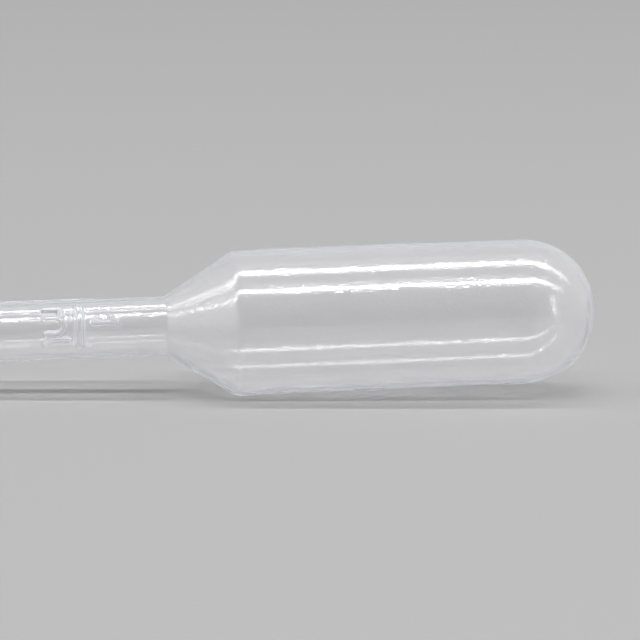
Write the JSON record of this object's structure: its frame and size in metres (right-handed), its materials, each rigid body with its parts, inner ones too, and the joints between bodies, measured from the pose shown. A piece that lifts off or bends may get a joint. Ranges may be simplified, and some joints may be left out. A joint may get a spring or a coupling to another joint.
{
  "type": "transfer pipette",
  "caption": "Small one-piece plastic dropper pipette with a squeeze bulb, conical shoulder, graduated stem and fine drawn tip, for moving and dropping liquids.",
  "frame": {"origin": "centre of the bottom of the bounding box, on the surface that the pipette lies on", "axes": "+X along the pipette towards its bulb, with the graduated front facing -Y and rolled up a little; the axis slopes down towards the tip, as the pipette rests on its shoulder and tip"},
  "size_m": [0.1476, 0.0124, 0.0135],
  "materials": {
    "natural_ldpe": "translucent uncoloured low-density polyethylene, blow-moulded, soft gloss"
  },
  "bodies": {
    "root": {"pipette_body": "natural_ldpe"}
  },
  "joints": []
}
